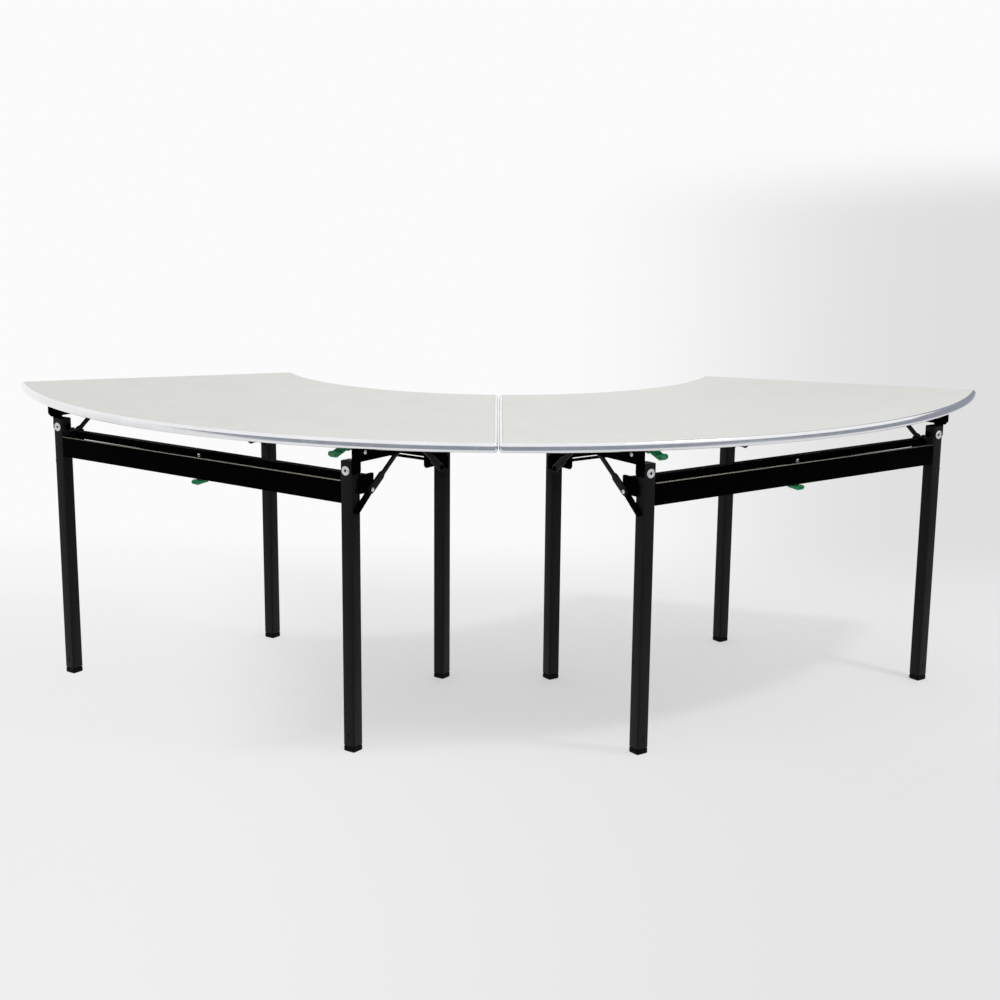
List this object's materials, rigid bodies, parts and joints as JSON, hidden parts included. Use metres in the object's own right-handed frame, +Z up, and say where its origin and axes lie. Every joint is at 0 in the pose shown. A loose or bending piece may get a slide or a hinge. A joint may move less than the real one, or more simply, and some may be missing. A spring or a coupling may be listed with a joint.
{
  "type": "curved folding tables",
  "caption": "Curved folding tables standing end to end as a bow, pale tops with metal edges on black square legs that fold flat",
  "frame": {"origin": "on the floor, under the middle of the plan box", "axes": "+X along the bow from the left table to the right one, +Y from the outer rim to the hollow of the bow, +Z up"},
  "size_m": [2.6026, 1.1692, 0.74],
  "materials": {
    "laminate": "off-white matt laminate on a board",
    "aluminium": "smooth bright edge profile",
    "black_steel": "satin black powder coat",
    "zinc": "bright zinc plating",
    "black_plastic": "matt black foot caps",
    "green_plastic": "moulded green plastic"
  },
  "bodies": {
    "table_tops": {"left_table_top": "laminate", "left_edge_trim": "aluminium", "left_outer_hinge_bracket_seam": "black_steel", "left_outer_hinge_bracket_end": "black_steel", "left_inner_hinge_bracket_seam": "black_steel", "left_inner_hinge_bracket_end": "black_steel", "right_table_top": "laminate", "right_edge_trim": "aluminium", "right_outer_hinge_bracket_seam": "black_steel", "right_outer_hinge_bracket_end": "black_steel", "right_inner_hinge_bracket_seam": "black_steel", "right_inner_hinge_bracket_end": "black_steel"},
    "left_outer_frame": {"left_outer_leg_seam": "black_steel", "left_outer_leg_end": "black_steel", "left_outer_foot_seam": "black_plastic", "left_outer_foot_end": "black_plastic", "left_outer_pivot_bolt_seam": "zinc", "left_outer_pivot_bolt_end": "zinc", "left_outer_cross_beam": "black_steel", "left_outer_release_rail": "black_steel"},
    "left_outer_braces": {"left_outer_brace_seam": "black_steel", "left_outer_brace_end": "black_steel"},
    "left_outer_lever": {"left_outer_release_lever": "green_plastic", "left_outer_release_shaft": "zinc"},
    "left_inner_frame": {"left_inner_leg_seam": "black_steel", "left_inner_leg_end": "black_steel", "left_inner_foot_seam": "black_plastic", "left_inner_foot_end": "black_plastic", "left_inner_pivot_bolt_seam": "zinc", "left_inner_pivot_bolt_end": "zinc", "left_inner_cross_beam": "black_steel", "left_inner_release_rail": "black_steel"},
    "left_inner_braces": {"left_inner_brace_seam": "black_steel", "left_inner_brace_end": "black_steel"},
    "left_inner_lever": {"left_inner_release_lever": "green_plastic", "left_inner_release_shaft": "zinc"},
    "right_outer_frame": {"right_outer_leg_seam": "black_steel", "right_outer_leg_end": "black_steel", "right_outer_foot_seam": "black_plastic", "right_outer_foot_end": "black_plastic", "right_outer_pivot_bolt_seam": "zinc", "right_outer_pivot_bolt_end": "zinc", "right_outer_cross_beam": "black_steel", "right_outer_release_rail": "black_steel"},
    "right_outer_braces": {"right_outer_brace_seam": "black_steel", "right_outer_brace_end": "black_steel"},
    "right_outer_lever": {"right_outer_release_lever": "green_plastic", "right_outer_release_shaft": "zinc"},
    "right_inner_frame": {"right_inner_leg_seam": "black_steel", "right_inner_leg_end": "black_steel", "right_inner_foot_seam": "black_plastic", "right_inner_foot_end": "black_plastic", "right_inner_pivot_bolt_seam": "zinc", "right_inner_pivot_bolt_end": "zinc", "right_inner_cross_beam": "black_steel", "right_inner_release_rail": "black_steel"},
    "right_inner_braces": {"right_inner_brace_seam": "black_steel", "right_inner_brace_end": "black_steel"},
    "right_inner_lever": {"right_inner_release_lever": "green_plastic", "right_inner_release_shaft": "zinc"}
  },
  "joints": [
    {"name": "left_outer_fold", "type": "hinge", "parent": "table_tops", "child": "left_outer_frame", "pos_m": [-0.7243, -0.20376, 0.661], "axis": [0.8166, -0.5771, 0], "range_deg": [0, 90]},
    {"name": "left_outer_brace_turn", "type": "hinge", "parent": "left_outer_frame", "child": "left_outer_braces", "pos_m": [-0.70353, -0.17436, 0.613], "axis": [0.8166, -0.5771, 0], "range_deg": [-133, 0]},
    {"name": "left_outer_lever_press", "type": "hinge", "parent": "left_outer_frame", "child": "left_outer_lever", "pos_m": [-0.7093, -0.18253, 0.615], "axis": [0.8166, -0.5771, 0], "range_deg": [0, 15], "stiffness_Nm_per_rad": 0.6},
    {"name": "left_inner_fold", "type": "hinge", "parent": "table_tops", "child": "left_inner_frame", "pos_m": [-0.39574, 0.2265, 0.622], "axis": [-0.8166, 0.5771, 0], "range_deg": [0, 90]},
    {"name": "left_inner_brace_turn", "type": "hinge", "parent": "left_inner_frame", "child": "left_inner_braces", "pos_m": [-0.41651, 0.1971, 0.574], "axis": [-0.8166, 0.5771, 0], "range_deg": [-133, 0]},
    {"name": "left_inner_lever_press", "type": "hinge", "parent": "left_inner_frame", "child": "left_inner_lever", "pos_m": [-0.41074, 0.20527, 0.588], "axis": [-0.8166, 0.5771, 0], "range_deg": [-20, 0], "stiffness_Nm_per_rad": 0.6},
    {"name": "right_outer_fold", "type": "hinge", "parent": "table_tops", "child": "right_outer_frame", "pos_m": [0.7243, -0.20376, 0.661], "axis": [-0.8166, -0.5771, 0], "range_deg": [-90, 0]},
    {"name": "right_outer_brace_turn", "type": "hinge", "parent": "right_outer_frame", "child": "right_outer_braces", "pos_m": [0.70353, -0.17436, 0.613], "axis": [-0.8166, -0.5771, 0], "range_deg": [0, 133]},
    {"name": "right_outer_lever_press", "type": "hinge", "parent": "right_outer_frame", "child": "right_outer_lever", "pos_m": [0.7093, -0.18253, 0.615], "axis": [-0.8166, -0.5771, 0], "range_deg": [-15, 0], "stiffness_Nm_per_rad": 0.6},
    {"name": "right_inner_fold", "type": "hinge", "parent": "table_tops", "child": "right_inner_frame", "pos_m": [0.39574, 0.2265, 0.622], "axis": [0.8166, 0.5771, 0], "range_deg": [-90, 0]},
    {"name": "right_inner_brace_turn", "type": "hinge", "parent": "right_inner_frame", "child": "right_inner_braces", "pos_m": [0.41651, 0.1971, 0.574], "axis": [0.8166, 0.5771, 0], "range_deg": [0, 133]},
    {"name": "right_inner_lever_press", "type": "hinge", "parent": "right_inner_frame", "child": "right_inner_lever", "pos_m": [0.41074, 0.20527, 0.588], "axis": [0.8166, 0.5771, 0], "range_deg": [0, 20], "stiffness_Nm_per_rad": 0.6}
  ],
  "couplings": [
    {"joint": "left_outer_brace_turn", "follows": "left_outer_fold", "ratio": -1.4418},
    {"joint": "left_inner_fold", "follows": "left_outer_fold", "ratio": 1},
    {"joint": "left_inner_brace_turn", "follows": "left_outer_fold", "ratio": -1.4418},
    {"joint": "right_outer_brace_turn", "follows": "right_outer_fold", "ratio": -1.4418},
    {"joint": "right_inner_fold", "follows": "right_outer_fold", "ratio": 1},
    {"joint": "right_inner_brace_turn", "follows": "right_outer_fold", "ratio": -1.4418}
  ]
}
